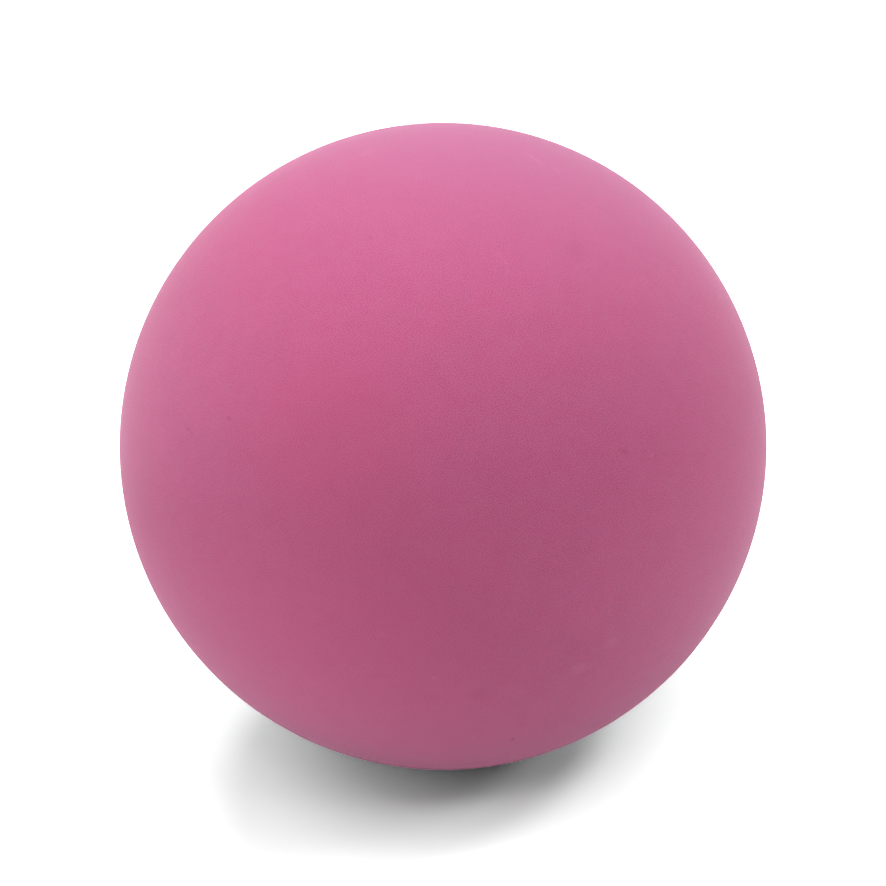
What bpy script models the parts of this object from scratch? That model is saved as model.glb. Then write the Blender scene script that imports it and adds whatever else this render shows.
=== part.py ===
"""A hollow, pressurised rubber ball, built from the pieces that it is cemented together from.

Two moulded half shells meet at a cemented seam. A gum plug on the inside of the back half seals the hole of the
inflating needle. Every piece is turned about the mould axis, local Z, which runs from the needle's pole, at -Z, to
the front pole, at +Z. An empty leans that axis over to the way the ball lies at rest.

Units are metres, +Z is up, and the origin is the ball's centre.
"""

import math

import bmesh
import bpy

# Ball
BALL_DIAMETER = 0.060
SHELL_WALL = 0.004
NEEDLE_MARK_DIAMETER = 0.0012  # the healed hole, outside the back pole
NEEDLE_MARK_DEPTH = 0.0003
REST_LEAN_DEGREES = 62.0  # of the mould axis from upright, towards -Y

# Cemented seam
SEAM_FILM = 0.0004  # thickness of the cement between the two edges
SEAM_BEAD_DEPTH = 0.0010  # of the squeezed-out cement, inwards from the inner wall
SEAM_BEAD_HEIGHT = 0.0024  # across the seam

# Inflation plug and its seat
PLUG_DIAMETER = 0.008
PLUG_HEIGHT = 0.0045  # crown included
PLUG_CROWN = 0.0006
PLUG_EDGE_RADIUS = 0.0012
PLUG_FILM = 0.0003  # thickness of the cement under the plug
SEAT_RING_WALL = 0.002
SEAT_RING_HEIGHT = 0.0013  # above where the ring leaves the inner wall
SEAT_RING_EDGE_RADIUS = 0.0005

# Clearance that two cemented faces keep, so that their solids never share a face
BOND_GAP = 0.0001

# Fineness of the turned shapes
TURN_STEPS = 64
OUTER_ARC_STEPS = 16
INNER_ARC_STEPS = 10
EDGE_ARC_STEPS = 3
BEAD_ARC_STEPS = 6
CROWN_STEPS = 3
WELD_DISTANCE = 0.000001
SHARP_EDGE_DEGREES = 40.0

# Sizes that follow from the ones above
OUTER_RADIUS = BALL_DIAMETER / 2
INNER_RADIUS = OUTER_RADIUS - SHELL_WALL
HALF_FILM = SEAM_FILM / 2
EDGE_PLANE = HALF_FILM + BOND_GAP
PLUG_RADIUS = PLUG_DIAMETER / 2
POCKET_RADIUS = PLUG_RADIUS + BOND_GAP
SEAT_RING_RADIUS = POCKET_RADIUS + SEAT_RING_WALL
SEAT_RING_FOOT = -math.sqrt(INNER_RADIUS**2 - SEAT_RING_RADIUS**2)
SEAT_RING_TOP = SEAT_RING_FOOT + SEAT_RING_HEIGHT
POCKET_FLOOR = -INNER_RADIUS
PLUG_FILM_BASE = POCKET_FLOOR + BOND_GAP
PLUG_FILM_TOP = PLUG_FILM_BASE + PLUG_FILM
PLUG_BASE = PLUG_FILM_TOP + BOND_GAP

# Finishes: linear colour and roughness
PINK_RUBBER = ((0.475, 0.095, 0.216), 0.60)
GUM_RUBBER = ((0.42, 0.20, 0.07), 0.55)
SEAM_CEMENT = ((0.40, 0.055, 0.16), 0.55)
PLUG_CEMENT = ((0.36, 0.22, 0.11), 0.60)


def reach_at_height(sphere_radius, height):
    """Distance from the mould axis of a sphere's point at a height above the equator."""
    return math.sqrt(sphere_radius**2 - height**2)


def arc(radius, start_degrees, end_degrees, steps, centre=(0.0, 0.0)):
    """Points (distance from axis, height) along an arc, both ends included."""
    points = []
    for step in range(steps + 1):
        angle = math.radians(start_degrees + (end_degrees - start_degrees) * step / steps)
        points.append((centre[0] + radius * math.cos(angle), centre[1] + radius * math.sin(angle)))
    return points


def latitude(sphere_radius, height):
    """Latitude, in degrees, of a height on a sphere."""
    return math.degrees(math.asin(height / sphere_radius))


def finish(name, colour_and_roughness):
    """A plain material for one piece."""
    colour, roughness = colour_and_roughness
    material = bpy.data.materials.new(name)
    material.use_nodes = True
    shader = material.node_tree.nodes["Principled BSDF"]
    shader.inputs["Base Color"].default_value = (*colour, 1.0)
    shader.inputs["Roughness"].default_value = roughness
    shader.inputs["Metallic"].default_value = 0.0
    return material


def turned_piece(name, profile, closed, colour_and_roughness, axis_frame):
    """Turn a profile about the mould axis into one named, closed solid.

    An open profile starts and ends on the axis. A closed one is a ring's section and stays clear of the axis.
    """
    shape = bmesh.new()
    verts = [shape.verts.new((distance, 0.0, height)) for distance, height in profile]
    edges = [shape.edges.new(pair) for pair in zip(verts, verts[1:])]
    if closed:
        edges.append(shape.edges.new((verts[-1], verts[0])))
    bmesh.ops.spin(
        shape,
        geom=verts + edges,
        cent=(0.0, 0.0, 0.0),
        axis=(0.0, 0.0, 1.0),
        angle=math.tau,
        steps=TURN_STEPS,
        use_merge=True,
    )
    bmesh.ops.remove_doubles(shape, verts=shape.verts, dist=WELD_DISTANCE)
    bmesh.ops.recalc_face_normals(shape, faces=shape.faces)

    mesh = bpy.data.meshes.new(name)
    shape.to_mesh(mesh)
    shape.free()
    mesh.shade_smooth()
    mesh.set_sharp_from_angle(angle=math.radians(SHARP_EDGE_DEGREES))
    mesh.materials.append(finish(name, colour_and_roughness))

    piece = bpy.data.objects.new(name, mesh)
    piece.parent = axis_frame
    bpy.context.collection.objects.link(piece)
    return piece


def front_half_profile():
    """Plain half shell: outer wall from the pole to the edge, flat edge, inner wall back to the pole."""
    outer_wall = arc(OUTER_RADIUS, 90.0, latitude(OUTER_RADIUS, EDGE_PLANE), OUTER_ARC_STEPS)
    inner_wall = arc(INNER_RADIUS, latitude(INNER_RADIUS, EDGE_PLANE), 90.0, INNER_ARC_STEPS)
    return pinned_to_axis(outer_wall + inner_wall)


def back_half_profile():
    """Half shell with the healed needle mark outside its pole and the plug's seat ring inside it."""
    mark_radius = NEEDLE_MARK_DIAMETER / 2
    needle_mark = [(0.0, -OUTER_RADIUS + NEEDLE_MARK_DEPTH)]
    mark_latitude = -math.degrees(math.acos(mark_radius / OUTER_RADIUS))
    outer_wall = arc(OUTER_RADIUS, mark_latitude, -latitude(OUTER_RADIUS, EDGE_PLANE), OUTER_ARC_STEPS)

    ring_latitude = latitude(INNER_RADIUS, SEAT_RING_FOOT)
    inner_wall = arc(INNER_RADIUS, -latitude(INNER_RADIUS, EDGE_PLANE), ring_latitude, INNER_ARC_STEPS)

    round_over = min(SEAT_RING_EDGE_RADIUS, SEAT_RING_WALL / 3, SEAT_RING_HEIGHT / 2)
    arc_height = SEAT_RING_TOP - round_over
    outer_edge = arc(round_over, 0.0, 90.0, EDGE_ARC_STEPS, (SEAT_RING_RADIUS - round_over, arc_height))
    inner_edge = arc(round_over, 90.0, 180.0, EDGE_ARC_STEPS, (POCKET_RADIUS + round_over, arc_height))
    pocket = [(POCKET_RADIUS, POCKET_FLOOR), (0.0, POCKET_FLOOR)]
    return pinned_to_axis(needle_mark + outer_wall + inner_wall + outer_edge + inner_edge + pocket)


def seam_cement_profile():
    """Section of the cement ring: a film between the two edges, and the bead squeezed out along the inner wall."""
    half_bead = SEAM_BEAD_HEIGHT / 2
    rim = reach_at_height(OUTER_RADIUS, HALF_FILM)
    wall_at_bead = reach_at_height(INNER_RADIUS, half_bead) - BOND_GAP
    film = [(wall_at_bead, -HALF_FILM), (rim, -HALF_FILM), (rim, HALF_FILM), (wall_at_bead, HALF_FILM)]
    bead = []
    for distance, height in arc(1.0, 90.0, 270.0, BEAD_ARC_STEPS):
        bead.append((wall_at_bead + SEAM_BEAD_DEPTH * distance, half_bead * height))
    return film + bead


def plug_profile():
    """Gum plug: flat foot, straight side, rounded shoulder and a low crown."""
    side_height = PLUG_HEIGHT - PLUG_CROWN
    round_over = min(PLUG_EDGE_RADIUS, PLUG_RADIUS / 2, side_height / 2)
    shoulder_top = PLUG_BASE + side_height
    shoulder_inset = PLUG_RADIUS - round_over
    shoulder = arc(round_over, 0.0, 90.0, EDGE_ARC_STEPS, (shoulder_inset, shoulder_top - round_over))
    crown = []
    for step in range(1, CROWN_STEPS + 1):
        share = step / CROWN_STEPS
        crown.append((shoulder_inset * (1.0 - share), shoulder_top + PLUG_CROWN * (1.0 - (1.0 - share) ** 2)))
    return pinned_to_axis([(0.0, PLUG_BASE), (PLUG_RADIUS, PLUG_BASE)] + shoulder + crown)


def plug_cement_profile():
    """Thin disc of cement on the pocket's floor, under the plug."""
    return [
        (0.0, PLUG_FILM_BASE),
        (PLUG_RADIUS, PLUG_FILM_BASE),
        (PLUG_RADIUS, PLUG_FILM_TOP),
        (0.0, PLUG_FILM_TOP),
    ]


def pinned_to_axis(profile):
    """Put a profile's two ends exactly on the mould axis."""
    return [(0.0, profile[0][1])] + profile[1:-1] + [(0.0, profile[-1][1])]


def leaning_axis():
    """Empty whose Z is the mould axis, leaning from upright towards -Y as the ball lies."""
    axis_frame = bpy.data.objects.new("mould_axis", None)
    axis_frame.rotation_euler = (math.radians(REST_LEAN_DEGREES), 0.0, 0.0)
    bpy.context.collection.objects.link(axis_frame)
    return axis_frame


def build():
    """Clear the scene and make the five pieces."""
    for leftover in list(bpy.data.objects):
        bpy.data.objects.remove(leftover, do_unlink=True)

    axis_frame = leaning_axis()
    turned_piece("front_half_shell", front_half_profile(), False, PINK_RUBBER, axis_frame)
    turned_piece("back_half_shell", back_half_profile(), False, PINK_RUBBER, axis_frame)
    turned_piece("seam_cement", seam_cement_profile(), True, SEAM_CEMENT, axis_frame)
    turned_piece("inflation_plug", plug_profile(), False, GUM_RUBBER, axis_frame)
    turned_piece("plug_cement", plug_cement_profile(), False, PLUG_CEMENT, axis_frame)
    bpy.context.view_layer.update()


build()
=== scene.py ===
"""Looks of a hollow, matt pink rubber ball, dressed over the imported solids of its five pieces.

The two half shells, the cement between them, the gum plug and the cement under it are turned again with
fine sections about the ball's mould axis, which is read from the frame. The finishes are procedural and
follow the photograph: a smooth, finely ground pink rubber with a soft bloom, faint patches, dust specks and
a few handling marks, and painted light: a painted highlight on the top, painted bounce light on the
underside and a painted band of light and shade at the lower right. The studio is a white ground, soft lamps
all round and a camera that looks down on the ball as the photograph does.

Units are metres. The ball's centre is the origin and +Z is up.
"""

import logging
import math
import random
from dataclasses import dataclass, field
from enum import Enum

import bmesh
import bpy
from mathutils import Matrix, Vector


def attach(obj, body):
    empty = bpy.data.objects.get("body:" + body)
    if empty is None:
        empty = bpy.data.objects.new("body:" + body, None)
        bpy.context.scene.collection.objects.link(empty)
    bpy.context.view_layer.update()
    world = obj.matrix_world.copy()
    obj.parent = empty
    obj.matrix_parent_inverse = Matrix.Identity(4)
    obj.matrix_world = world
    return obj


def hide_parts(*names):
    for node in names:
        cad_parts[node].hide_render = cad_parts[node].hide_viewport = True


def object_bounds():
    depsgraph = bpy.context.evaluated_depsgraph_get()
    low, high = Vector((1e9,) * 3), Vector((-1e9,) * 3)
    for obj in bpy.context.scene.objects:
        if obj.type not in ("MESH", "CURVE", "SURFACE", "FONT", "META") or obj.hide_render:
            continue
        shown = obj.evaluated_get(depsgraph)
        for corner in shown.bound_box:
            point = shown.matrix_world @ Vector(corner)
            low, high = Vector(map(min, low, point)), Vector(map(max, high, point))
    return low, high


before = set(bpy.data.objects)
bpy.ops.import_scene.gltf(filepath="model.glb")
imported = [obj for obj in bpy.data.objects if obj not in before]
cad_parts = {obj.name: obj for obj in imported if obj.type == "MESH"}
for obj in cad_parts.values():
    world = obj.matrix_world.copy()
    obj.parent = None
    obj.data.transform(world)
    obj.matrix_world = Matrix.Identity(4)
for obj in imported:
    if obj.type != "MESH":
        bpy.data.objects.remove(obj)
CAD_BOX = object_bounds()

log = logging.getLogger("bouncy_ball")

Colour = tuple[float, float, float]
Pixel = tuple[float, float]
Socket = bpy.types.NodeSocket
Value = Socket | float | tuple[float, ...] | Vector

BODY = "root"
WELD_DISTANCE = 0.0000005
SHARP_EDGE_DEGREES = 50.0
QUARTER_TURN = 90.0
SECTION_CENTRE = (0.0, 0.0)  # the ball's centre in a section
NOWHERE = (0.0, 0.0, 0.0)

# Noise lies round this middle, and doubling what it differs by takes it to about -1 to 1
NOISE_MIDDLE = 0.5
NOISE_SPREAD = 2.0

# Ground grain: scales as shares of the grain's own, and how strong each part of its height and tone is
COARSE_GRAIN = 0.31
SPECK_GRAIN = 3.29
GRAIN_NEIGHBOUR = 0.7
GRAIN_NEIGHBOURS = 4.0
FINE_HEIGHT = 0.7
COARSE_HEIGHT = 0.3
EVEN_SHARE = 1.55
SPECK_SHARE = 0.72

# Soft patches: the drift of hue reads the noise at another place and a finer scale than the tone
DRIFT_SHIFT = (0.37, 0.11, 0.73)
DRIFT_SCALE = 2.3

# Specks and marks: a speck's least size, and how much of a speck's or mark's reach is its solid core
LEAST_SPECK = 0.4
SPECK_CORE = 0.35
MARK_CORE = 0.2


class Side(Enum):
    """Half of the ball that a shell makes."""

    FRONT = 1.0
    BACK = -1.0


class MarkKind(Enum):
    """How a mark on the skin differs from the rubber round it."""

    PALE = "pale"
    DARK = "dark"
    STAIN = "stain"


class SocketKind(Enum):
    """What an input or output of a node group carries."""

    NUMBER = "NodeSocketFloat"
    VECTOR = "NodeSocketVector"


@dataclass(frozen=True)
class MouldAxis:
    """The line that every piece of the ball is turned about."""

    centre: Vector
    towards_front: Vector

    @classmethod
    def from_frame(cls) -> "MouldAxis":
        """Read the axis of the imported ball, which runs from its plug through its centre.

        Returns:
            The axis.
        """
        low, high = CAD_BOX
        centre = (low + high) / 2
        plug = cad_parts["inflation_plug"].data.vertices
        plug_middle = sum((vertex.co for vertex in plug), Vector()) / len(plug)
        return cls(centre, (centre - plug_middle).normalized())

    def placement(self, side: Side) -> Matrix:
        """Transform that takes a piece turned about local Z to its place.

        Args:
            side: the half whose pole local +Z becomes.

        Returns:
            The matrix from the piece's own axes to the ball's.
        """
        turn = Vector((0.0, 0.0, 1.0)).rotation_difference(self.towards_front * side.value)
        return Matrix.Translation(self.centre) @ turn.to_matrix().to_4x4()


@dataclass(frozen=True)
class NodeSpan:
    """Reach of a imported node, in metres from the mould axis and from the ball's centre."""

    nearest: float
    farthest: float
    low: float
    high: float
    reach: float

    @classmethod
    def of(cls, node: str, axis: MouldAxis) -> "NodeSpan":
        """Measure a node.

        Args:
            node: the node's name.
            axis: the ball's mould axis.

        Returns:
            Its distances from the centre, heights along the axis and greatest distance from the axis.
        """
        distances, heights, reaches = [], [], []
        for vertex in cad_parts[node].data.vertices:
            offset = vertex.co - axis.centre
            height = offset.dot(axis.towards_front)
            distances.append(offset.length)
            heights.append(height)
            reaches.append((offset - axis.towards_front * height).length)
        return cls(min(distances), max(distances), min(heights), max(heights), max(reaches))


class TurnedSection:
    """A section that is drawn point by point beside the mould axis and then turned into a solid.

    X is the distance from the axis and Z the height along it. Angles run from X towards Z.
    """

    def __init__(self, reach: float, height: float) -> None:
        """Start the section at one point.

        Args:
            reach: the point's distance from the axis.
            height: its height along the axis.
        """
        self.shape = bmesh.new()
        self.first = self.shape.verts.new((reach, 0.0, height))
        self.tip = self.first

    def line_to(self, reach: float, height: float) -> "TurnedSection":
        """Add a straight edge to a point.

        Args:
            reach: the point's distance from the axis.
            height: its height along the axis.

        Returns:
            The section itself, so that strokes can follow each other.
        """
        made = bmesh.ops.extrude_vert_indiv(self.shape, verts=[self.tip])
        self.tip = made["verts"][0]
        self.tip.co = (reach, 0.0, height)
        return self

    def arc(self, centre: tuple[float, float], degrees: float, steps: int) -> "TurnedSection":
        """Sweep the last point round a centre.

        Args:
            centre: distance from the axis and height of the arc's centre.
            degrees: angle of the sweep, positive from X towards Z.
            steps: number of edges along it.

        Returns:
            The section itself, so that strokes can follow each other.
        """
        made = bmesh.ops.spin(
            self.shape,
            geom=[self.tip],
            cent=(centre[0], 0.0, centre[1]),
            axis=(0.0, -1.0, 0.0),
            angle=math.radians(degrees),
            steps=steps,
        )
        self.tip = next(item for item in made["geom_last"] if isinstance(item, bmesh.types.BMVert))
        return self

    def close(self) -> "TurnedSection":
        """Join the last point to the first, for a ring that stays clear of the axis."""
        self.shape.edges.new((self.tip, self.first))
        return self

    def turn(self, steps: int) -> bmesh.types.BMesh:
        """Turn the section once round the axis.

        Args:
            steps: number of faces round the axis.

        Returns:
            The closed solid, with its faces pointing out.
        """
        bmesh.ops.spin(
            self.shape,
            geom=self.shape.verts[:] + self.shape.edges[:],
            cent=(0.0, 0.0, 0.0),
            axis=(0.0, 0.0, 1.0),
            angle=math.tau,
            steps=steps,
            use_merge=True,
        )
        bmesh.ops.remove_doubles(self.shape, verts=self.shape.verts, dist=WELD_DISTANCE)
        bmesh.ops.recalc_face_normals(self.shape, faces=self.shape.faces)
        return self.shape


def hand_wave(angle: float, lobes: tuple[int, ...], seed: int) -> float:
    """Uneven flow of hand-brushed cement round a ring, between -1 and 1.

    Args:
        angle: place round the ring, in radians.
        lobes: how many waves each of its parts has round the ring.
        seed: chooses the waves' phases.

    Returns:
        The sum of the waves, as a share of their greatest sum.
    """
    phases = random.Random(seed)
    total = 0.0
    for count in lobes:
        total += math.sin(count * angle + phases.uniform(0.0, math.tau))
    return total / len(lobes)


def make_piece(
    name: str, shape: bmesh.types.BMesh, place: Matrix, material: bpy.types.Material
) -> bpy.types.Object:
    """Put a turned solid in its place as a piece of the ball.

    Args:
        name: the piece's name.
        shape: the solid, turned about local Z.
        place: the transform to its place.
        material: its finish.

    Returns:
        The piece, at the origin, with its place in its mesh.
    """
    bmesh.ops.transform(shape, matrix=place, verts=shape.verts)
    mesh = bpy.data.meshes.new(name)
    shape.to_mesh(mesh)
    shape.free()
    mesh.shade_smooth()
    mesh.set_sharp_from_angle(angle=math.radians(SHARP_EDGE_DEGREES))
    mesh.materials.append(material)
    piece = bpy.data.objects.new(name, mesh)
    bpy.context.collection.objects.link(piece)
    return piece


def fit_piece(piece: bpy.types.Object, node: str) -> None:
    """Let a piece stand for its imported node.

    Args:
        piece: the piece, in place.
        node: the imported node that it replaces.
    """
    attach(piece, BODY)
    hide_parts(node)
    log.info("%s: %d faces for %s", piece.name, len(piece.data.polygons), node)


class NodeBoard:
    """Adds and joins the nodes of one shader tree."""

    # Sockets of a Mix node that blends colours
    MIX_SHARE = 0
    MIX_FIRST = 6
    MIX_SECOND = 7
    MIX_RESULT = 2

    def __init__(self, tree: bpy.types.NodeTree) -> None:
        """Work on a tree."""
        self.tree = tree

    def add(self, kind: str, **settings: object) -> bpy.types.Node:
        """Add a node.

        Args:
            kind: the node's type in Blender.
            settings: attributes of the node, such as its operation.

        Returns:
            The new node.
        """
        node = self.tree.nodes.new(kind)
        for name, value in settings.items():
            setattr(node, name, value)
        return node

    def feed(self, socket: Socket, value: Value) -> None:
        """Set an input to a value, or join it to another node's output.

        Args:
            socket: the input.
            value: an output, or a number, vector or colour.
        """
        if isinstance(value, Socket):
            self.tree.links.new(value, socket)
        elif socket.type == "RGBA":
            socket.default_value = (*value, 1.0)
        else:
            socket.default_value = value

    def math(self, operation: str, first: Value, second: Value = 0.0, third: Value = 0.0) -> Socket:
        """One step of arithmetic on numbers.

        Args:
            operation: the Math node's operation.
            first: a number or an output.
            second: a number or an output.
            third: a number or an output, for an operation on three.

        Returns:
            The result's output.
        """
        node = self.add("ShaderNodeMath", operation=operation)
        for socket, value in zip(node.inputs, (first, second, third)):
            self.feed(socket, value)
        return node.outputs["Value"]

    def vector(
        self, operation: str, first: Value, second: Value = NOWHERE, answer: str = "Vector"
    ) -> Socket:
        """One step of arithmetic on vectors.

        Args:
            operation: the Vector Math node's operation.
            first: a vector or an output.
            second: a vector, a number for a scaling, or an output.
            answer: the name of the output to use.

        Returns:
            The result's output.
        """
        node = self.add("ShaderNodeVectorMath", operation=operation)
        self.feed(node.inputs[0], first)
        self.feed(node.inputs["Scale"] if operation == "SCALE" else node.inputs[1], second)
        return node.outputs[answer]

    def ramp(self, value: Value, start: Value, end: Value, low: Value = 0.0, high: Value = 1.0) -> Socket:
        """Smooth step of a value from one range to another.

        Args:
            value: the output to read.
            start: value that gives low.
            end: value that gives high.
            low: result at the start.
            high: result at the end.

        Returns:
            The result's output.
        """
        node = self.add("ShaderNodeMapRange", interpolation_type="SMOOTHSTEP")
        self.feed(node.inputs["Value"], value)
        self.feed(node.inputs["From Min"], start)
        self.feed(node.inputs["From Max"], end)
        self.feed(node.inputs["To Min"], low)
        self.feed(node.inputs["To Max"], high)
        return node.outputs["Result"]

    def blend(self, share: Value, first: Value, second: Value) -> Socket:
        """Blend two colours.

        Args:
            share: how much of the second colour shows.
            first: a colour or an output.
            second: a colour or an output.

        Returns:
            The blended colour's output.
        """
        node = self.add("ShaderNodeMix", data_type="RGBA")
        self.feed(node.inputs[self.MIX_SHARE], share)
        self.feed(node.inputs[self.MIX_FIRST], first)
        self.feed(node.inputs[self.MIX_SECOND], second)
        return node.outputs[self.MIX_RESULT]

    def noise(self, place: Value, scale: Value, detail: float, roughness: float = 0.5) -> Socket:
        """Soft noise between 0 and 1.

        Args:
            place: coordinates to read.
            scale: features per metre.
            detail: number of finer layers.
            roughness: strength of the finer layers.

        Returns:
            The noise value's output.
        """
        node = self.add("ShaderNodeTexNoise", noise_dimensions="3D")
        self.feed(node.inputs["Vector"], place)
        self.feed(node.inputs["Scale"], scale)
        self.feed(node.inputs["Detail"], detail)
        self.feed(node.inputs["Roughness"], roughness)
        return node.outputs["Fac"]

    def group(self, tree: bpy.types.NodeTree, **values: Value) -> bpy.types.Node:
        """Place a shared effect.

        Args:
            tree: the effect's node group.
            values: its inputs, with underscores for spaces.

        Returns:
            The group's node.
        """
        node = self.add("ShaderNodeGroup", node_tree=tree)
        for name, value in values.items():
            self.feed(node.inputs[name.replace("_", " ").title()], value)
        return node


class SkinEffects:
    """The shared effects of the ball's rubbers and cements, each one a node group that is built once."""

    def __init__(self) -> None:
        """Build every group."""
        self.grain = self._grain()
        self.patches = self._patches()
        self.specks = self._specks()
        self.mark = self._mark()

    @staticmethod
    def _start(
        name: str, inputs: dict[str, SocketKind], outputs: tuple[str, ...]
    ) -> tuple[NodeBoard, bpy.types.Node, bpy.types.Node]:
        """Open a new group.

        Args:
            name: the group's name.
            inputs: its inputs and what they carry.
            outputs: its outputs, which are numbers.

        Returns:
            The board to build on, the group's input node and its output node.
        """
        tree = bpy.data.node_groups.new(name, "ShaderNodeTree")
        for socket, kind in inputs.items():
            tree.interface.new_socket(socket, in_out="INPUT", socket_type=kind.value)
        for socket in outputs:
            tree.interface.new_socket(socket, in_out="OUTPUT", socket_type=SocketKind.NUMBER.value)
        board = NodeBoard(tree)
        return board, board.add("NodeGroupInput"), board.add("NodeGroupOutput")

    def _grain(self) -> bpy.types.NodeTree:
        """Make the fine ground grain: a height for the bump and a tone round 0.

        The tone sets each point against the points beside it on the skin, so that the grain is even all
        over, and adds single specks to it.

        Returns:
            The node group.
        """
        board, given, result = self._start(
            "Ground grain",
            {"Place": SocketKind.VECTOR, "Scale": SocketKind.NUMBER},
            ("Height", "Tone"),
        )
        place, scale = given.outputs["Place"], given.outputs["Scale"]
        fine = board.noise(place, scale, detail=0.0)
        coarse = board.noise(place, board.math("MULTIPLY", scale, COARSE_GRAIN), detail=1.0)
        fine_height = board.math("MULTIPLY", fine, FINE_HEIGHT)
        height = board.math("ADD", fine_height, board.math("MULTIPLY", coarse, COARSE_HEIGHT))
        board.feed(result.inputs["Height"], height)

        reach = board.math("DIVIDE", GRAIN_NEIGHBOUR, scale)
        sideways = board.vector("CROSS_PRODUCT", place, (1.0, 0.0, 0.0))
        onwards = board.vector("CROSS_PRODUCT", place, sideways)
        around: Value = 0.0
        for direction in (sideways, onwards):
            step = board.vector("SCALE", board.vector("NORMALIZE", direction), reach)
            for operation in ("ADD", "SUBTRACT"):
                beside = board.noise(board.vector(operation, place, step), scale, detail=0.0)
                around = board.math("ADD", around, beside)
        even = board.math("SUBTRACT", fine, board.math("DIVIDE", around, GRAIN_NEIGHBOURS))
        cells = board.vector("SCALE", place, board.math("MULTIPLY", scale, SPECK_GRAIN))
        chance = board.add("ShaderNodeTexWhiteNoise", noise_dimensions="3D")
        board.feed(chance.inputs["Vector"], board.vector("FLOOR", cells))
        specks = board.math("SUBTRACT", chance.outputs["Value"], NOISE_MIDDLE)
        even_tone = board.math("MULTIPLY", even, EVEN_SHARE)
        tone = board.math("ADD", even_tone, board.math("MULTIPLY", specks, SPECK_SHARE))
        board.feed(result.inputs["Tone"], tone)
        return board.tree

    def _patches(self) -> bpy.types.NodeTree:
        """Make the soft uneven patches: a tone and a drift of hue, both round 0.

        Returns:
            The node group.
        """
        board, given, result = self._start(
            "Soft patches",
            {"Place": SocketKind.VECTOR, "Scale": SocketKind.NUMBER},
            ("Tone", "Drift"),
        )
        place, scale = given.outputs["Place"], given.outputs["Scale"]
        aside = board.vector("ADD", place, DRIFT_SHIFT)
        finer = board.math("MULTIPLY", scale, DRIFT_SCALE)
        noises = {
            "Tone": board.noise(place, scale, detail=3.0, roughness=0.55),
            "Drift": board.noise(aside, finer, detail=2.0, roughness=0.6),
        }
        for socket, noise in noises.items():
            offset = board.math("SUBTRACT", noise, NOISE_MIDDLE)
            board.feed(result.inputs[socket], board.math("MULTIPLY", offset, NOISE_SPREAD))
        return board.tree

    def _specks(self) -> bpy.types.NodeTree:
        """Make sparse round specks of dust or lint, as a mask.

        Returns:
            The node group.
        """
        board, given, result = self._start(
            "Dust specks",
            {
                "Place": SocketKind.VECTOR,
                "Spacing": SocketKind.NUMBER,
                "Radius": SocketKind.NUMBER,
                "Share": SocketKind.NUMBER,
            },
            ("Mask",),
        )
        cells = board.add("ShaderNodeTexVoronoi", voronoi_dimensions="3D", feature="F1")
        board.feed(cells.inputs["Vector"], given.outputs["Place"])
        board.feed(cells.inputs["Scale"], board.math("DIVIDE", 1.0, given.outputs["Spacing"]))
        distance = board.math("MULTIPLY", cells.outputs["Distance"], given.outputs["Spacing"])
        chance = board.add("ShaderNodeSeparateColor")
        board.feed(chance.inputs["Color"], cells.outputs["Color"])
        size = board.math("ADD", chance.outputs["Green"], LEAST_SPECK)
        radius = board.math("MULTIPLY", given.outputs["Radius"], size)
        core = board.math("MULTIPLY", radius, SPECK_CORE)
        dot = board.ramp(distance, core, radius, 1.0, 0.0)
        kept = board.math("LESS_THAN", chance.outputs["Red"], given.outputs["Share"])
        board.feed(result.inputs["Mask"], board.math("MULTIPLY", dot, kept))
        return board.tree

    def _mark(self) -> bpy.types.NodeTree:
        """Make one soft, oblong mark at a place on the skin, as a mask; it also lays the drifts and the
        painted light and shading.

        Returns:
            The node group.
        """
        board, given, result = self._start(
            "Skin mark",
            {
                "Place": SocketKind.VECTOR,
                "Centre": SocketKind.VECTOR,
                "Along": SocketKind.VECTOR,
                "Half Length": SocketKind.NUMBER,
                "Half Width": SocketKind.NUMBER,
            },
            ("Mask",),
        )
        along = given.outputs["Along"]
        offset = board.vector("SUBTRACT", given.outputs["Place"], given.outputs["Centre"])
        lengthwise = board.vector("DOT_PRODUCT", offset, along, answer="Value")
        across = board.vector("SUBTRACT", offset, board.vector("SCALE", along, lengthwise))
        crosswise = board.vector("LENGTH", across, answer="Value")
        long_share = board.math("DIVIDE", lengthwise, given.outputs["Half Length"])
        wide_share = board.math("DIVIDE", crosswise, given.outputs["Half Width"])
        long_square = board.math("POWER", long_share, 2.0)
        squares = board.math("ADD", long_square, board.math("POWER", wide_share, 2.0))
        mask = board.ramp(board.math("SQRT", squares), MARK_CORE, 1.0, 1.0, 0.0)
        board.feed(result.inputs["Mask"], mask)
        return board.tree


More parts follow.
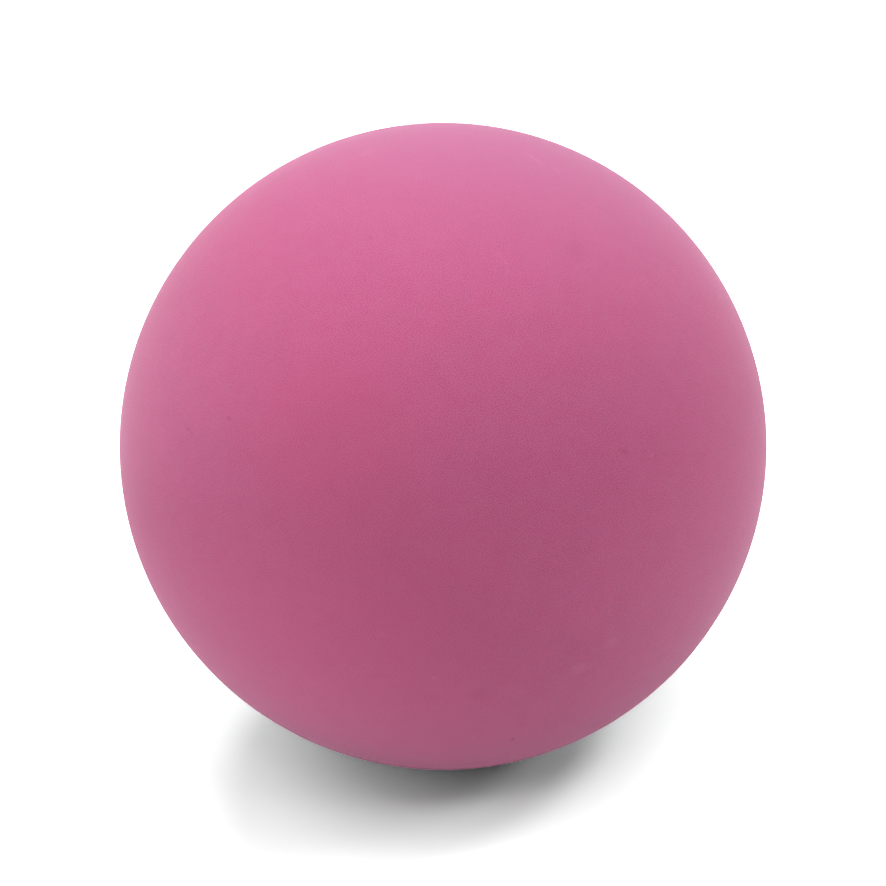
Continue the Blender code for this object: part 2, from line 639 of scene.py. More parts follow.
class FinishBoard(NodeBoard):
    """The nodes of one finish, with the skin's coordinates and the grain and patches of its rubber."""

    def __init__(self, name: str, effects: SkinEffects, grain_scale: float, patch_scale: float) -> None:
        """Start a material.

        Args:
            name: the material's name.
            effects: the shared node groups.
            grain_scale: grains per metre.
            patch_scale: patches per metre.
        """
        self.material = bpy.data.materials.new(name)
        self.material.use_nodes = True
        super().__init__(self.material.node_tree)
        self.effects = effects
        self.shader = self.tree.nodes["Principled BSDF"]
        self.place = self.add("ShaderNodeTexCoord").outputs["Object"]
        self.grain = self.group(effects.grain, place=self.place, scale=grain_scale)
        self.patches = self.group(effects.patches, place=self.place, scale=patch_scale)

    def hue(self, first: Colour, second: Colour, drift_range: float) -> Socket:
        """Colour that drifts from one to another over the patches, as their drift crosses a range."""
        share = self.ramp(self.patches.outputs["Drift"], -drift_range, drift_range)
        return self.blend(share, first, second)

    def dress(self, colour: Socket, roughness: float, roughness_drift: float, grain_depth: float) -> None:
        """Feed the shader's colour, its uneven roughness and the bump of its grain.

        Args:
            colour: the finished colour.
            roughness: mean roughness.
            roughness_drift: how much the patches change it.
            grain_depth: depth of the grain, in metres.
        """
        uneven = self.math("MULTIPLY_ADD", self.patches.outputs["Tone"], roughness_drift, roughness)
        bump = self.add("ShaderNodeBump")
        self.feed(bump.inputs["Distance"], grain_depth)
        self.feed(bump.inputs["Height"], self.grain.outputs["Height"])
        self.feed(self.shader.inputs["Base Color"], colour)
        self.feed(self.shader.inputs["Roughness"], uneven)
        self.feed(self.shader.inputs["Normal"], bump.outputs["Normal"])


@dataclass(frozen=True)
class PhotoCamera:
    """The photograph's viewpoint: a long lens that looks down on the ball.

    The ball's outline in the photograph is a circle, given in pixels of its square frame.
    """

    ball_radius: float
    centre: Vector
    elevation_degrees: float = 30.0
    distance: float = 0.42
    frame_pixels: float = 886.0
    outline_middle: Pixel = (443.1, 446.2)
    outline_radius: float = 323.7
    sensor_mm: float = 36.0

    @property
    def focal_pixels(self) -> float:
        """Focal length in pixels, at which the ball's outline has its radius in the photograph."""
        return self.outline_radius / math.tan(math.asin(self.ball_radius / self.distance))

    @property
    def back(self) -> Vector:
        """Direction from the ball to the camera."""
        angle = math.radians(self.elevation_degrees)
        return Vector((0.0, -math.cos(angle), math.sin(angle)))

    @property
    def right(self) -> Vector:
        """Direction of the picture's right."""
        return Vector((1.0, 0.0, 0.0))

    @property
    def up(self) -> Vector:
        """Direction of the picture's top."""
        return self.back.cross(self.right)

    @property
    def eye(self) -> Vector:
        """Where the camera stands."""
        return self.centre + self.back * self.distance

    def point_on_ball(self, pixel: Pixel) -> Vector:
        """Point of the ball that a pixel of the photograph shows.

        Args:
            pixel: across and down, in the photograph's frame, inside the ball's outline.

        Returns:
            The point on the ball's surface that faces the camera there.
        """
        across = (pixel[0] - self.outline_middle[0]) / self.focal_pixels
        down = (pixel[1] - self.outline_middle[1]) / self.focal_pixels
        ray = (self.right * across - self.up * down - self.back).normalized()
        to_eye = self.eye - self.centre
        nearing = ray.dot(to_eye)
        reach = nearing**2 - (to_eye.length_squared - self.ball_radius**2)
        return self.eye + ray * (-nearing - math.sqrt(max(reach, 0.0)))

    def build(self) -> bpy.types.Object:
        """Make the camera and let the scene use it.

        Returns:
            The camera.
        """
        data = bpy.data.cameras.new("photo_camera")
        data.sensor_width = self.sensor_mm
        data.lens = self.focal_pixels * self.sensor_mm / self.frame_pixels
        half = self.frame_pixels / 2
        metres_per_pixel = self.distance / self.focal_pixels
        aside = (half - self.outline_middle[0]) * metres_per_pixel
        above = (self.outline_middle[1] - half) * metres_per_pixel
        target = self.centre + self.right * aside + self.up * above
        camera = bpy.data.objects.new("photo_camera", data)
        camera.location = self.eye
        camera.rotation_euler = (target - self.eye).to_track_quat("-Z", "Y").to_euler()
        bpy.context.collection.objects.link(camera)
        bpy.context.scene.camera = camera
        return camera


@dataclass(frozen=True)
class MarkAndPaintedShading:
    """A small mark that the photograph shows on the ball's skin, in the photograph's pixels, or a patch of
    painted shading: a lighter or darker band that stands in for how the light falls on the ball.
    """

    name: str
    kind: MarkKind
    pixel: Pixel
    length: float
    width: float
    slope_degrees: float
    strength: float

    def _beside(self, distance: float, turn_degrees: float) -> Pixel:
        """Pixel at a distance from the mark's middle, at an angle from its long axis."""
        angle = math.radians(self.slope_degrees + turn_degrees)
        return self.pixel[0] + distance * math.cos(angle), self.pixel[1] + distance * math.sin(angle)

    def mask(self, board: FinishBoard, camera: PhotoCamera) -> Socket:
        """Lay the mark on the skin.

        Args:
            board: the finish's nodes.
            camera: the photograph's viewpoint.

        Returns:
            The output of its mask, at its strength.
        """
        centre = camera.point_on_ball(self.pixel)
        tip = camera.point_on_ball(self._beside(self.length / 2, 0.0)) - centre
        flank = camera.point_on_ball(self._beside(self.width / 2, QUARTER_TURN)) - centre
        node = board.group(
            board.effects.mark,
            place=board.place,
            centre=centre,
            along=tip.normalized(),
            half_length=tip.length,
            half_width=flank.length,
        )
        node.label = self.name
        return board.math("MULTIPLY", node.outputs["Mask"], self.strength)


HANDLING_MARKS_AND_PAINTED_SHADING = (
    MarkAndPaintedShading("upper scuff", MarkKind.PALE, (534.0, 158.2), 27.0, 4.5, 35.0, 0.115),
    MarkAndPaintedShading("second scuff", MarkKind.PALE, (556.4, 169.6), 16.0, 4.0, 30.0, 0.08),
    MarkAndPaintedShading("crescent start", MarkKind.PALE, (499.0, 255.0), 15.0, 4.5, 32.0, 0.045),
    MarkAndPaintedShading("crescent middle", MarkKind.PALE, (505.7, 261.5), 13.0, 4.5, 59.0, 0.08),
    MarkAndPaintedShading("crescent end", MarkKind.PALE, (507.2, 272.0), 18.0, 5.0, 96.0, 0.05),
    MarkAndPaintedShading("right dot", MarkKind.PALE, (651.2, 456.3), 6.0, 6.0, 0.0, 0.10),
    MarkAndPaintedShading("low dot", MarkKind.PALE, (434.0, 678.0), 7.0, 6.0, 0.0, 0.13),
    MarkAndPaintedShading("rim dot", MarkKind.PALE, (743.0, 386.0), 6.0, 5.0, -11.3, 0.09),
    MarkAndPaintedShading("upper rim dot", MarkKind.PALE, (720.0, 296.0), 6.0, 5.0, -28.4, 0.13),
    MarkAndPaintedShading("top smear", MarkKind.PALE, (367.0, 152.0), 18.0, 9.0, 0.0, 0.10),
    MarkAndPaintedShading("low left spot", MarkKind.PALE, (382.0, 635.0), 16.0, 9.0, 0.0, 0.06),
    # Painted light: these three pale marks lay a lighter band along the ball's lower right, below a line
    # where its shading changes.
    MarkAndPaintedShading("low right painted light", MarkKind.PALE, (612.0, 643.0), 22.0, 16.0, 0.0, 0.09),
    MarkAndPaintedShading("low painted light", MarkKind.PALE, (580.0, 668.0), 32.0, 16.0, -20.0, 0.075),
    MarkAndPaintedShading("low middle painted light", MarkKind.PALE, (512.0, 692.0), 42.0, 16.0, 10.0, 0.045),
    MarkAndPaintedShading("left speck", MarkKind.DARK, (228.7, 418.3), 9.0, 6.5, 20.0, 0.225),
    MarkAndPaintedShading("outer left speck", MarkKind.DARK, (188.0, 428.7), 6.5, 6.0, 0.0, 0.19),
    MarkAndPaintedShading("outer left tail", MarkKind.DARK, (191.7, 434.0), 11.0, 6.0, 80.0, 0.13),
    MarkAndPaintedShading("low speck", MarkKind.DARK, (512.8, 739.3), 5.0, 5.5, -13.4, 0.32),
    MarkAndPaintedShading("right smear", MarkKind.DARK, (623.8, 451.3), 17.0, 8.0, 18.0, 0.155),
    # Painted shade: these two dark marks darken the lower right above that lighter band.
    MarkAndPaintedShading("low right shade", MarkKind.DARK, (577.0, 648.0), 44.0, 28.0, -40.0, 0.025),
    MarkAndPaintedShading("right shade", MarkKind.DARK, (620.0, 608.0), 52.0, 18.0, 100.0, 0.05),
    MarkAndPaintedShading("top speck", MarkKind.DARK, (371.0, 238.0), 7.0, 7.0, 0.0, 0.11),
    MarkAndPaintedShading("low left smear", MarkKind.DARK, (380.0, 676.0), 34.0, 14.0, 0.0, 0.05),
    MarkAndPaintedShading("low smear", MarkKind.DARK, (430.0, 697.0), 34.0, 14.0, 0.0, 0.04),
    MarkAndPaintedShading("upper stain", MarkKind.STAIN, (577.0, 251.0), 34.0, 32.0, 0.0, 0.052),
    MarkAndPaintedShading("low stain", MarkKind.STAIN, (478.0, 694.0), 26.0, 18.0, 20.0, 0.065),
)


@dataclass(frozen=True)
class ToneDriftAndPaintedLight:
    """A broad, faint drift of the rubber's colour, or a patch of painted light, which fades out round a
    point of the ball.
    """

    name: str
    pixel: Pixel
    reach: float
    tint: Colour
    strength: float

    def tinge(self, board: FinishBoard, camera: PhotoCamera, colour: Socket) -> Socket:
        """Blend the drift into the skin's colour.

        Args:
            board: the finish's nodes.
            camera: the photograph's viewpoint.
            colour: the colour so far.

        Returns:
            The new colour's output.
        """
        node = board.group(
            board.effects.mark,
            place=board.place,
            centre=camera.point_on_ball(self.pixel),
            along=camera.right,
            half_length=self.reach,
            half_width=self.reach,
        )
        node.label = self.name
        share = board.math("MULTIPLY", node.outputs["Mask"], self.strength)
        return board.blend(share, colour, self.tint)


TONE_DRIFTS_AND_PAINTED_LIGHT = (
    ToneDriftAndPaintedLight("warm patch", (330.0, 430.0), 0.0122, (0.5486, 0.0836, 0.2025), 0.33),
    # Painted highlight: the top is given a paler, less red pink, which stands in for the soft highlight
    # that the light from above lays there.
    ToneDriftAndPaintedLight("top painted highlight", (500.0, 132.0), 0.028, (0.4063, 0.1208, 0.2521), 0.50),
    # Painted bounce light: the underside is given a redder pink, which stands in for the pink light that
    # bounces from the ball to the ground and back.
    ToneDriftAndPaintedLight("underside painted bounce light", (350.0, 660.0), 0.022, (0.5497, 0.1010, 0.2270), 0.40),
)


@dataclass(frozen=True)
class SpeckSpread:
    """Sparse specks that lie all over the skin."""

    spacing: float
    radius: float
    share: float
    strength: float
    shift: tuple[float, float, float] = NOWHERE

    def mask(self, board: FinishBoard) -> Socket:
        """Spread the specks over the skin.

        Args:
            board: the finish's nodes.

        Returns:
            The output of their mask, at their strength.
        """
        node = board.group(
            board.effects.specks,
            place=board.vector("ADD", board.place, self.shift),
            spacing=self.spacing,
            radius=self.radius,
            share=self.share,
        )
        return board.math("MULTIPLY", node.outputs["Mask"], self.strength)


@dataclass(frozen=True)
class PinkRubber:
    """Finely ground, matt pink rubber of the half shells.

    Its bloom is the whitish veil at grazing angles. Its bounce is the colour that it hands on to the ground
    round it: a weaker, neutral grey, because the shadow in the photograph has no pink in it.
    """

    pink: Colour = (0.499, 0.0965, 0.2233)
    mauve: Colour = (0.4895, 0.1054, 0.2296)
    # The pale and dark colours also lay the painted light and painted shade at the lower right.
    pale: Colour = (0.68, 0.27, 0.43)
    dark: Colour = (0.25, 0.0, 0.072)
    stain: Colour = (0.03, 0.006, 0.013)
    hue_range: float = 0.6
    roughness: float = 0.60
    roughness_drift: float = 0.06
    specular: float = 0.015
    bounce: Colour = (0.087, 0.087, 0.087)
    bloom: float = 0.205
    bloom_tint: Colour = (0.87, 0.91, 1.0)
    bloom_roughness: float = 0.60
    grain_scale: float = 7300.0
    grain_tint: Colour = (0.120, 0.055, 0.078)
    grain_depth: float = 0.0000008
    patch_scale: float = 320.0
    patch_tone: float = 0.05
    dust: SpeckSpread = SpeckSpread(0.0045, 0.00016, 0.30, 0.16)
    lint: SpeckSpread = SpeckSpread(0.006, 0.00016, 0.30, 0.22, shift=(0.5, 0.2, 0.9))

    def material(self, effects: SkinEffects, camera: PhotoCamera) -> bpy.types.Material:
        """Make the finish.

        Args:
            effects: the shared node groups.
            camera: the photograph's viewpoint, which places the handling marks, the painted shading and the
                painted light on the ball.

        Returns:
            The material for both half shells.
        """
        board = FinishBoard("pink_rubber", effects, self.grain_scale, self.patch_scale)
        colour = self._with_marks_and_painted_light(board, camera, self._rubber(board))
        bounced = board.add("ShaderNodeLightPath").outputs["Is Diffuse Ray"]
        colour = board.blend(bounced, colour, self.bounce)
        board.dress(colour, self.roughness, self.roughness_drift, self.grain_depth)
        board.feed(board.shader.inputs["Specular IOR Level"], self.specular)
        board.feed(board.shader.inputs["Sheen Weight"], self.bloom)
        board.feed(board.shader.inputs["Sheen Roughness"], self.bloom_roughness)
        board.feed(board.shader.inputs["Sheen Tint"], self.bloom_tint)
        return board.material

    def _rubber(self, board: FinishBoard) -> Socket:
        """Colour of the rubber itself, with its patches, grain, dust and lint.

        Args:
            board: the finish's nodes.

        Returns:
            The colour's output.
        """
        colour = board.hue(self.pink, self.mauve, self.hue_range)
        shade = board.math("MULTIPLY_ADD", board.patches.outputs["Tone"], self.patch_tone, 1.0)
        colour = board.vector("SCALE", colour, shade)
        grain = board.vector("SCALE", self.grain_tint, board.grain.outputs["Tone"])
        colour = board.vector("ADD", colour, grain)
        colour = board.blend(self.dust.mask(board), colour, self.dark)
        return board.blend(self.lint.mask(board), colour, self.pale)

    def _with_marks_and_painted_light(self, board: FinishBoard, camera: PhotoCamera, colour: Socket) -> Socket:
        """Colour with the drifts, the painted highlight on the top, the painted bounce light on the
        underside, the handling marks and the painted shading at the lower right on it.

        Args:
            board: the finish's nodes.
            camera: the photograph's viewpoint.
            colour: the plain rubber's colour.

        Returns:
            The new colour's output.
        """
        # The drifts include the painted highlight on the top and the painted bounce light on the underside.
        for drift in TONE_DRIFTS_AND_PAINTED_LIGHT:
            colour = drift.tinge(board, camera, colour)
        # The pale and dark tints lay the handling marks and also the painted shading band at the lower
        # right.
        tints = {MarkKind.STAIN: self.stain, MarkKind.PALE: self.pale, MarkKind.DARK: self.dark}
        for kind, tint in tints.items():
            total: Value = 0.0
            for mark in HANDLING_MARKS_AND_PAINTED_SHADING:
                if mark.kind is kind:
                    total = board.math("MAXIMUM", total, mark.mask(board, camera))
            colour = board.blend(total, colour, tint)
        return colour


@dataclass(frozen=True)
class PlainRubber:
    """A soft rubber or cured cement with its own grain and patches."""

    name: str
    colour: Colour
    second: Colour
    roughness: float
    grain_scale: float
    grain_depth: float
    patch_scale: float
    hue_range: float = 0.5
    roughness_drift: float = 0.12

    def material(self, effects: SkinEffects) -> bpy.types.Material:
        """Make the finish.

        Args:
            effects: the shared node groups.

        Returns:
            The material.
        """
        board = FinishBoard(self.name, effects, self.grain_scale, self.patch_scale)
        colour = board.hue(self.colour, self.second, self.hue_range)
        board.dress(colour, self.roughness, self.roughness_drift, self.grain_depth)
        return board.material


SEAM_CEMENT_FINISH = PlainRubber(
    "seam_cement",
    (0.36, 0.045, 0.140),
    (0.42, 0.060, 0.175),
    roughness=0.55,
    grain_scale=3000.0,
    grain_depth=0.00002,
    patch_scale=160.0,
)
GUM_FINISH = PlainRubber(
    "plug_gum",
    (0.42, 0.19, 0.060),
    (0.50, 0.26, 0.10),
    roughness=0.42,
    grain_scale=1600.0,
    grain_depth=0.00003,
    patch_scale=260.0,
)
PLUG_CEMENT_FINISH = PlainRubber(
    "plug_cement",
    (0.34, 0.21, 0.10),
    (0.42, 0.28, 0.15),
    roughness=0.50,
    grain_scale=2200.0,
    grain_depth=0.00002,
    patch_scale=320.0,
)


@dataclass
class HalfShell:
    """A moulded half shell, drawn with its pole up and then laid to its side of the ball."""

    side: Side
    outer_radius: float
    inner_radius: float
    edge_height: float
    edge_round: float = 0.00012
    turn_steps: int = 192
    outer_steps: int = 72
    inner_steps: int = 36
    round_steps: int = 4

    def outer_wall(self) -> TurnedSection:
        """Outer wall, from the pole to where the rim's round begins."""
        sweep = self._rim_latitude(self.outer_radius - self.edge_round) - QUARTER_TURN
        return TurnedSection(0.0, self.outer_radius).arc(SECTION_CENTRE, sweep, self.outer_steps)

    def rim(self, section: TurnedSection) -> TurnedSection:
        """Rounded outer edge, flat cemented face and rounded inner edge.

        Args:
            section: the section, drawn as far as the outer wall's end.

        Returns:
            The section, drawn as far as the inner wall's start.
        """
        height = self.edge_height + self.edge_round
        outside = self.outer_radius - self.edge_round
        inside = self.inner_radius + self.edge_round
        outer_reach = math.sqrt(outside**2 - height**2)
        inner_reach = math.sqrt(inside**2 - height**2)
        outer_sweep = -QUARTER_TURN - self._rim_latitude(outside)
        inner_sweep = self._rim_latitude(inside) - QUARTER_TURN
        section.arc((outer_reach, height), outer_sweep, self.round_steps)
        section.line_to(inner_reach, self.edge_height)
        return section.arc((inner_reach, height), inner_sweep, self.round_steps)

    def inner_wall(self, section: TurnedSection, top_latitude: float) -> TurnedSection:
        """Inner wall, from the rim up to a latitude.

        Args:
            section: the section, drawn as far as the rim's inner edge.
            top_latitude: where the wall ends, in degrees above the rim's plane.

        Returns:
            The section, drawn as far as that latitude.
        """
        start = self._rim_latitude(self.inner_radius + self.edge_round)
        return section.arc(SECTION_CENTRE, top_latitude - start, self.inner_steps)

    def _rim_latitude(self, radius: float) -> float:
        """Latitude, in degrees, at which a sphere's point has the height of the rim rounds' centres."""
        return math.degrees(math.asin((self.edge_height + self.edge_round) / radius))

    def build(self) -> bmesh.types.BMesh:
        """Turn the plain half shell.

        Returns:
            The solid, with its pole up.
        """
        section = self.rim(self.outer_wall())
        self.inner_wall(section, QUARTER_TURN)
        return section.turn(self.turn_steps)


@dataclass
class PlugSeat:
    """Moulded ring on the inner pole of the back half, with the pocket that the plug sits in."""

    pocket_radius: float
    floor_height: float
    ring_wall: float = 0.0020
    ring_height: float = 0.0013
    edge_round: float = 0.0005
    foot_round: float = 0.0004
    round_steps: int = 5

    @property
    def ring_radius(self) -> float:
        """Outer radius of the ring."""
        return self.pocket_radius + self.ring_wall

    def foot_latitude(self, inner_radius: float) -> float:
        """Latitude, in degrees, at which the ring leaves the inner wall."""
        return math.degrees(math.acos((self.ring_radius + self.foot_round) / inner_radius))

    def draw(self, section: TurnedSection, inner_radius: float) -> TurnedSection:
        """Add the ring and the pocket to a shell's section.

        Args:
            section: the section, drawn along the inner wall as far as the ring's foot.
            inner_radius: radius of the inner wall.

        Returns:
            The section, drawn as far as the axis.
        """
        foot = math.sqrt(inner_radius**2 - self.ring_radius**2)
        top = foot - self.ring_height
        round_height = top + self.edge_round
        section.line_to(self.ring_radius, foot - self.foot_round)
        section.line_to(self.ring_radius, round_height)
        section.arc((self.ring_radius - self.edge_round, round_height), -QUARTER_TURN, self.round_steps)
        section.line_to(self.pocket_radius + self.edge_round, top)
        section.arc((self.pocket_radius + self.edge_round, round_height), -QUARTER_TURN, self.round_steps)
        section.line_to(self.pocket_radius, self.floor_height)
        return section.line_to(0.0, self.floor_height)


@dataclass
class BackShell(HalfShell):
    """The half shell with the plug's seat inside its pole and the healed needle mark outside it.

    The mark's lip, the spread of its slopes and its whole reach are given in radii of the mark.
    """

    seat: PlugSeat = field(kw_only=True)
    mark_radius: float = 0.0006
    mark_depth: float = 0.0003
    lip_height: float = 0.00005
    lip_place: float = 1.2
    slope_spread: float = 0.45
    mark_reach: float = 3.0
    mark_steps: int = 14

    def outer_wall(self) -> TurnedSection:
        """Outer wall with the pole's needle mark: a small funnel inside a low lip.

        Returns:
            The section, drawn as far as the rim's round.
        """
        section = TurnedSection(0.0, self.outer_radius)
        mark_latitude = math.degrees(math.acos(self.mark_reach * self.mark_radius / self.outer_radius))
        section.arc(SECTION_CENTRE, mark_latitude - QUARTER_TURN, self.mark_steps)
        for vertex in section.shape.verts:
            vertex.co.z += self._mark_relief(vertex.co.x)
        rest = self._rim_latitude(self.outer_radius - self.edge_round) - mark_latitude
        return section.arc(SECTION_CENTRE, rest, self.outer_steps)

    def _mark_relief(self, reach: float) -> float:
        """Height of the skin near the needle mark, against the plain ball.

        Args:
            reach: distance from the mark's middle.

        Returns:
            The height, which is negative in the funnel.
        """
        share = reach / self.mark_radius
        funnel = math.exp(-((share / self.slope_spread) ** 2)) * self.mark_depth
        lip = math.exp(-(((share - self.lip_place) / self.slope_spread) ** 2)) * self.lip_height
        return lip - funnel

    def build(self) -> bmesh.types.BMesh:
        """Turn the half shell with its seat.

        Returns:
            The solid, with its pole up.
        """
        section = self.rim(self.outer_wall())
        self.inner_wall(section, self.seat.foot_latitude(self.inner_radius))
        self.seat.draw(section, self.inner_radius)
        return section.turn(self.turn_steps)


@dataclass
class SeamRing:
    """Cement between the two edges, with the bead that was squeezed out along the inner wall."""

    rim_reach: float
    wall_reach: float
    half_film: float
    bead_depth: float
    half_bead: float
    sunk: float = 0.00004
    wave: float = 0.25
    lobes: tuple[int, ...] = (5, 13, 31)
    seed: int = 7
    turn_steps: int = 192
    bead_steps: int = 12

    def build(self) -> bmesh.types.BMesh:
        """Turn the film and the bead, then let the bead run unevenly.

        Returns:
            The ring, about local Z.
        """
        outside = self.rim_reach - self.sunk
        section = TurnedSection(self.wall_reach, -self.half_film)
        section.line_to(outside - self.sunk, -self.half_film)
        section.line_to(outside, 0.0)
        section.line_to(outside - self.sunk, self.half_film)
        section.line_to(self.wall_reach, self.half_film)
        section.line_to(self.wall_reach, self.half_bead)
        step = math.pi / self.bead_steps
        for index in range(1, self.bead_steps):
            angle = index * step
            reach = self.wall_reach - self.bead_depth * math.sin(angle)
            section.line_to(reach, self.half_bead * math.cos(angle))
        section.line_to(self.wall_reach, -self.half_bead)
        shape = section.close().turn(self.turn_steps)
        for vertex in shape.verts:
            self._run(vertex)
        return shape

    def _run(self, vertex: bmesh.types.BMVert) -> None:
        """Let one point of the bead flow in or out with the brush's waves.

        Args:
            vertex: a point of the ring, which stays where it is outside the bead.
        """
        reach = math.hypot(vertex.co.x, vertex.co.y)
        inwards = self.wall_reach - reach
        if inwards <= WELD_DISTANCE:
            return
        flow = hand_wave(math.atan2(vertex.co.y, vertex.co.x), self.lobes, self.seed)
        factor = (reach - inwards * self.wave * flow) / reach
        vertex.co.x *= factor
        vertex.co.y *= factor


@dataclass
class GumPlug:
    """Domed plug of soft gum that closes round the needle's hole."""

    radius: float
    base: float
    top: float
    crown: float = 0.0006
    shoulder: float = 0.0012
    foot: float = 0.0002
    turn_steps: int = 96
    round_steps: int = 8
    crown_steps: int = 10

    def build(self) -> bmesh.types.BMesh:
        """Turn the plug about the axis, with its base towards the pole.

        Returns:
            The plug, about local Z.
        """
        shoulder_top = self.top - self.crown
        inset = self.radius - self.shoulder
        section = TurnedSection(0.0, self.base)
        section.line_to(self.radius - self.foot, self.base)
        section.arc((self.radius - self.foot, self.base + self.foot), QUARTER_TURN, self.round_steps)
        section.line_to(self.radius, shoulder_top - self.shoulder)
        section.arc((inset, shoulder_top - self.shoulder), QUARTER_TURN, self.round_steps)
        for index in range(1, self.crown_steps + 1):
            share = index / self.crown_steps
            height = shoulder_top + self.crown * (1.0 - (1.0 - share) ** 2)
            section.line_to(inset * (1.0 - share), height)
        return section.turn(self.turn_steps)


@dataclass
class PlugCement:
    """Thin disc of cement under the plug, with an edge that ran unevenly."""

    radius: float
    base: float
    top: float
    wave: float = 0.04
    lobes: tuple[int, ...] = (3, 7, 12)
    seed: int = 8
    turn_steps: int = 96
    ring_steps: int = 6

    def build(self) -> bmesh.types.BMesh:
        """Turn the disc, then let its edge run.

        Returns:
            The disc, about local Z.
        """
        middle = (self.base + self.top) / 2
        half = (self.top - self.base) / 2
        section = TurnedSection(0.0, self.base)
        section.line_to(self.radius - half, self.base)
        section.arc((self.radius - half, middle), 2 * QUARTER_TURN, self.ring_steps)
        section.line_to(0.0, self.top)
        shape = section.turn(self.turn_steps)
        for vertex in shape.verts:
            flow = hand_wave(math.atan2(vertex.co.y, vertex.co.x), self.lobes, self.seed)
            factor = 1.0 - self.wave * (1.0 + flow) / 2
            vertex.co.x *= factor
            vertex.co.y *= factor
        return shape


class Ball:
    """The five pieces of the ball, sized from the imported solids."""

    def __init__(self) -> None:
        """Read the mould axis and the pieces' spans from the frame."""
        self.axis = MouldAxis.from_frame()
        self.front = NodeSpan.of("front_half_shell", self.axis)
        self.back = NodeSpan.of("back_half_shell", self.axis)
        self.seam = NodeSpan.of("seam_cement", self.axis)
        self.plug = NodeSpan.of("inflation_plug", self.axis)
        self.plug_cement = NodeSpan.of("plug_cement", self.axis)
        self.radius = self.front.farthest

    def build(self, camera: PhotoCamera) -> None:
        """Make, dress and fit every piece.

        Args:
            camera: the photograph's viewpoint, which places the marks and the painted light on the skin.
        """
        effects = SkinEffects()
        self._build_shells(PinkRubber().material(effects, camera))
        self._build_seam(SEAM_CEMENT_FINISH.material(effects))
        self._build_plug(GUM_FINISH.material(effects), PLUG_CEMENT_FINISH.material(effects))

    def _build_shells(self, rubber: bpy.types.Material) -> None:
        """Make the two half shells.

        Args:
            rubber: their finish.
        """
        inner_radius = self.front.nearest
        front = HalfShell(Side.FRONT, self.radius, inner_radius, self.front.low)
        piece = make_piece("front_shell", front.build(), self.axis.placement(front.side), rubber)
        fit_piece(piece, "front_half_shell")
        gap = self.front.low - self.seam_half_film
        seat = PlugSeat(self.plug.reach + gap, inner_radius)
        back = BackShell(Side.BACK, self.radius, inner_radius, -self.back.high, seat=seat)
        piece = make_piece("back_shell", back.build(), self.axis.placement(back.side), rubber)
        fit_piece(piece, "back_half_shell")

    @property
    def seam_half_film(self) -> float:
        """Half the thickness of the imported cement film, which is flush with the ball where it shows."""
        return math.sqrt(max(self.seam.farthest**2 - self.seam.reach**2, 0.0))

    def _build_seam(self, cement: bpy.types.Material) -> None:
        """Make the cement ring, which fills the joint up to both shells.

        Args:
            cement: its finish.
        """
        half_bead = self.seam.high
        wall = math.sqrt(self.front.nearest**2 - half_bead**2)
        ring = SeamRing(self.radius, wall, self.front.low, wall - self.seam.nearest, half_bead)
        piece = make_piece("seam_ring", ring.build(), self.axis.placement(Side.FRONT), cement)
        fit_piece(piece, "seam_cement")

    def _build_plug(self, gum: bpy.types.Material, cement: bpy.types.Material) -> None:
        """Make the plug and the cement under it.

        Args:
            gum: the plug's finish.
            cement: the cement's finish.
        """
        place = self.axis.placement(Side.FRONT)
        plug = GumPlug(self.plug.reach, self.plug.low, self.plug.high)
        fit_piece(make_piece("gum_plug", plug.build(), place, gum), "inflation_plug")
        film = PlugCement(self.plug_cement.reach, self.plug_cement.low, self.plug_cement.high)
        piece = make_piece("plug_cement_disc", film.build(), place, cement)
        fit_piece(piece, "plug_cement")


@dataclass(frozen=True)
class Softbox:
    """A round soft lamp that is aimed at the ball.

    Azimuth 0 is behind the ball, 90 is the camera's right and 180 the camera's side.
    """

    name: str
    azimuth_degrees: float
    elevation_degrees: float
    watts: float
    distance: float = 0.70
    size: float = 0.45

    def build(self, target: Vector) -> bpy.types.Object:
        """Make the lamp.

        Args:
            target: the point that it is aimed at.

        Returns:
            The lamp.
        """
        data = bpy.data.lights.new(self.name, "AREA")
        data.shape = "DISK"
        data.size = self.size
        data.energy = self.watts
        lamp = bpy.data.objects.new(self.name, data)
        azimuth = math.radians(self.azimuth_degrees)
        elevation = math.radians(self.elevation_degrees)
        away = Vector((
            math.sin(azimuth) * math.cos(elevation),
            math.cos(azimuth) * math.cos(elevation),
            math.sin(elevation),
        ))
        lamp.location = target + away * self.distance
        lamp.rotation_euler = (-away).to_track_quat("-Z", "Y").to_euler()
        bpy.context.collection.objects.link(lamp)
        return lamp


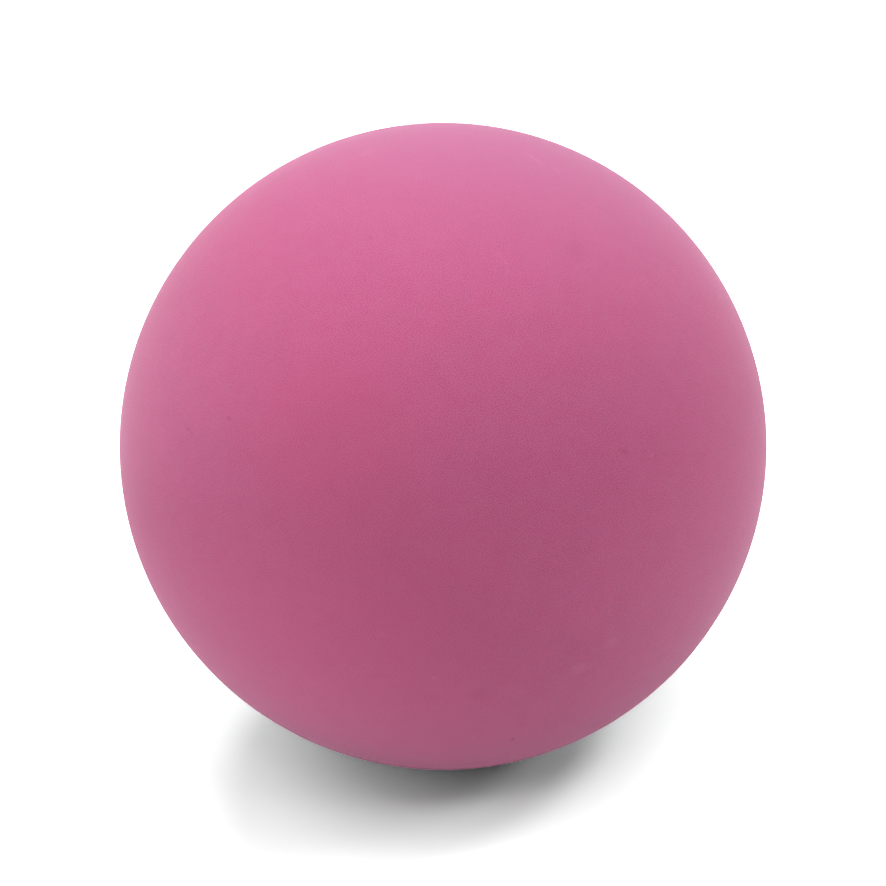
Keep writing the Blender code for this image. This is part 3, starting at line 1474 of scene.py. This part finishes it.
@dataclass
class Studio:
    """White ground and soft lamps all round, strongest from high up at the back left and the front right.

    The ground ends where the lamps' light still makes it white, so that it runs into the white room unseen.
    """

    floor_height: float
    floor_radius: float = 0.45
    floor_sides: int = 96
    floor_colour: Colour = (0.85, 0.85, 0.85)
    seen_white: Colour = (1.8, 1.8, 1.8)
    room_white: Colour = (1.0, 1.0, 1.0)
    softboxes: tuple[Softbox, ...] = (
        Softbox("back_low", 0.0, 10.0, 0.47),
        Softbox("back_right", 30.0, 30.0, 0.75),
        Softbox("right_low", 60.0, 10.0, 0.48),
        Softbox("right_spot", 90.0, 30.0, 0.60, size=0.15),
        Softbox("right_high_spot", 90.0, 50.0, 0.87, size=0.15),
        Softbox("front_right_high", 120.0, 70.0, 1.51),
        Softbox("front_right_spot", 150.0, 50.0, 0.42, size=0.15),
        Softbox("front_spot", 180.0, 50.0, 0.23, size=0.15),
        Softbox("front_left", -120.0, 30.0, 1.03),
        Softbox("left_low", -90.0, 10.0, 0.73),
        Softbox("left", -90.0, 50.0, 1.27),
        Softbox("back_spot", -30.0, 50.0, 1.10, size=0.15),
        Softbox("back_high_spot", -30.0, 70.0, 1.81, size=0.15),
    )

    def build(self, centre: Vector) -> None:
        """Make the ground, the lamps and the room.

        Args:
            centre: the ball's centre, which the lamps are aimed at.
        """
        self._build_floor()
        for softbox in self.softboxes:
            softbox.build(centre)
        self._build_room()
        bpy.context.scene.view_settings.view_transform = "Standard"
        log.info("studio: %d lamps", len(self.softboxes))

    def _build_floor(self) -> None:
        """Make the ground, which the camera sees as an overexposed white that keeps the ball's shadow."""
        shape = bmesh.new()
        bmesh.ops.create_circle(shape, cap_ends=True, radius=self.floor_radius, segments=self.floor_sides)
        bmesh.ops.translate(shape, verts=shape.verts, vec=(0.0, 0.0, self.floor_height))
        mesh = bpy.data.meshes.new("white_ground")
        shape.to_mesh(mesh)
        shape.free()
        mesh.materials.append(self._ground_finish())
        ground = bpy.data.objects.new("white_ground", mesh)
        bpy.context.collection.objects.link(ground)

    def _ground_finish(self) -> bpy.types.Material:
        """Make the ground's plain matt white.

        Returns:
            The material.
        """
        material = bpy.data.materials.new("white_ground")
        material.use_nodes = True
        board = NodeBoard(material.node_tree)
        board.tree.nodes.remove(board.tree.nodes["Principled BSDF"])
        matt = board.add("ShaderNodeBsdfDiffuse")
        colour = board.blend(self._is_looked_at(board), self.floor_colour, self.seen_white)
        board.feed(matt.inputs["Color"], colour)
        board.feed(board.tree.nodes["Material Output"].inputs["Surface"], matt.outputs["BSDF"])
        return material

    def _build_room(self) -> None:
        """Make the world: white where it is looked at or mirrored, and dark as a source of light."""
        world = bpy.data.worlds.new("room")
        world.use_nodes = True
        board = NodeBoard(world.node_tree)
        background = board.tree.nodes["Background"]
        board.feed(background.inputs["Color"], self.room_white)
        board.feed(background.inputs["Strength"], self._is_looked_at(board))
        bpy.context.scene.world = world

    @staticmethod
    def _is_looked_at(board: NodeBoard) -> Socket:
        """Tell the rays of the camera, and of a mirror or glass that it looks into, from all others.

        Args:
            board: the nodes of the ground or the room.

        Returns:
            The output that is 1 for such a ray and else 0.
        """
        path = board.add("ShaderNodeLightPath")
        mirrored = board.math("MAXIMUM", path.outputs["Is Glossy Ray"], path.outputs["Is Transmission Ray"])
        return board.math("MAXIMUM", path.outputs["Is Camera Ray"], mirrored)


def main() -> None:
    """Build the ball and the studio in order."""
    logging.basicConfig(level=logging.INFO, format="%(name)s: %(message)s")
    ball = Ball()
    camera = PhotoCamera(ball.radius, ball.axis.centre)
    camera.build()
    ball.build(camera)
    Studio(CAD_BOX[0].z).build(ball.axis.centre)


if __name__ == "__main__":
    main()
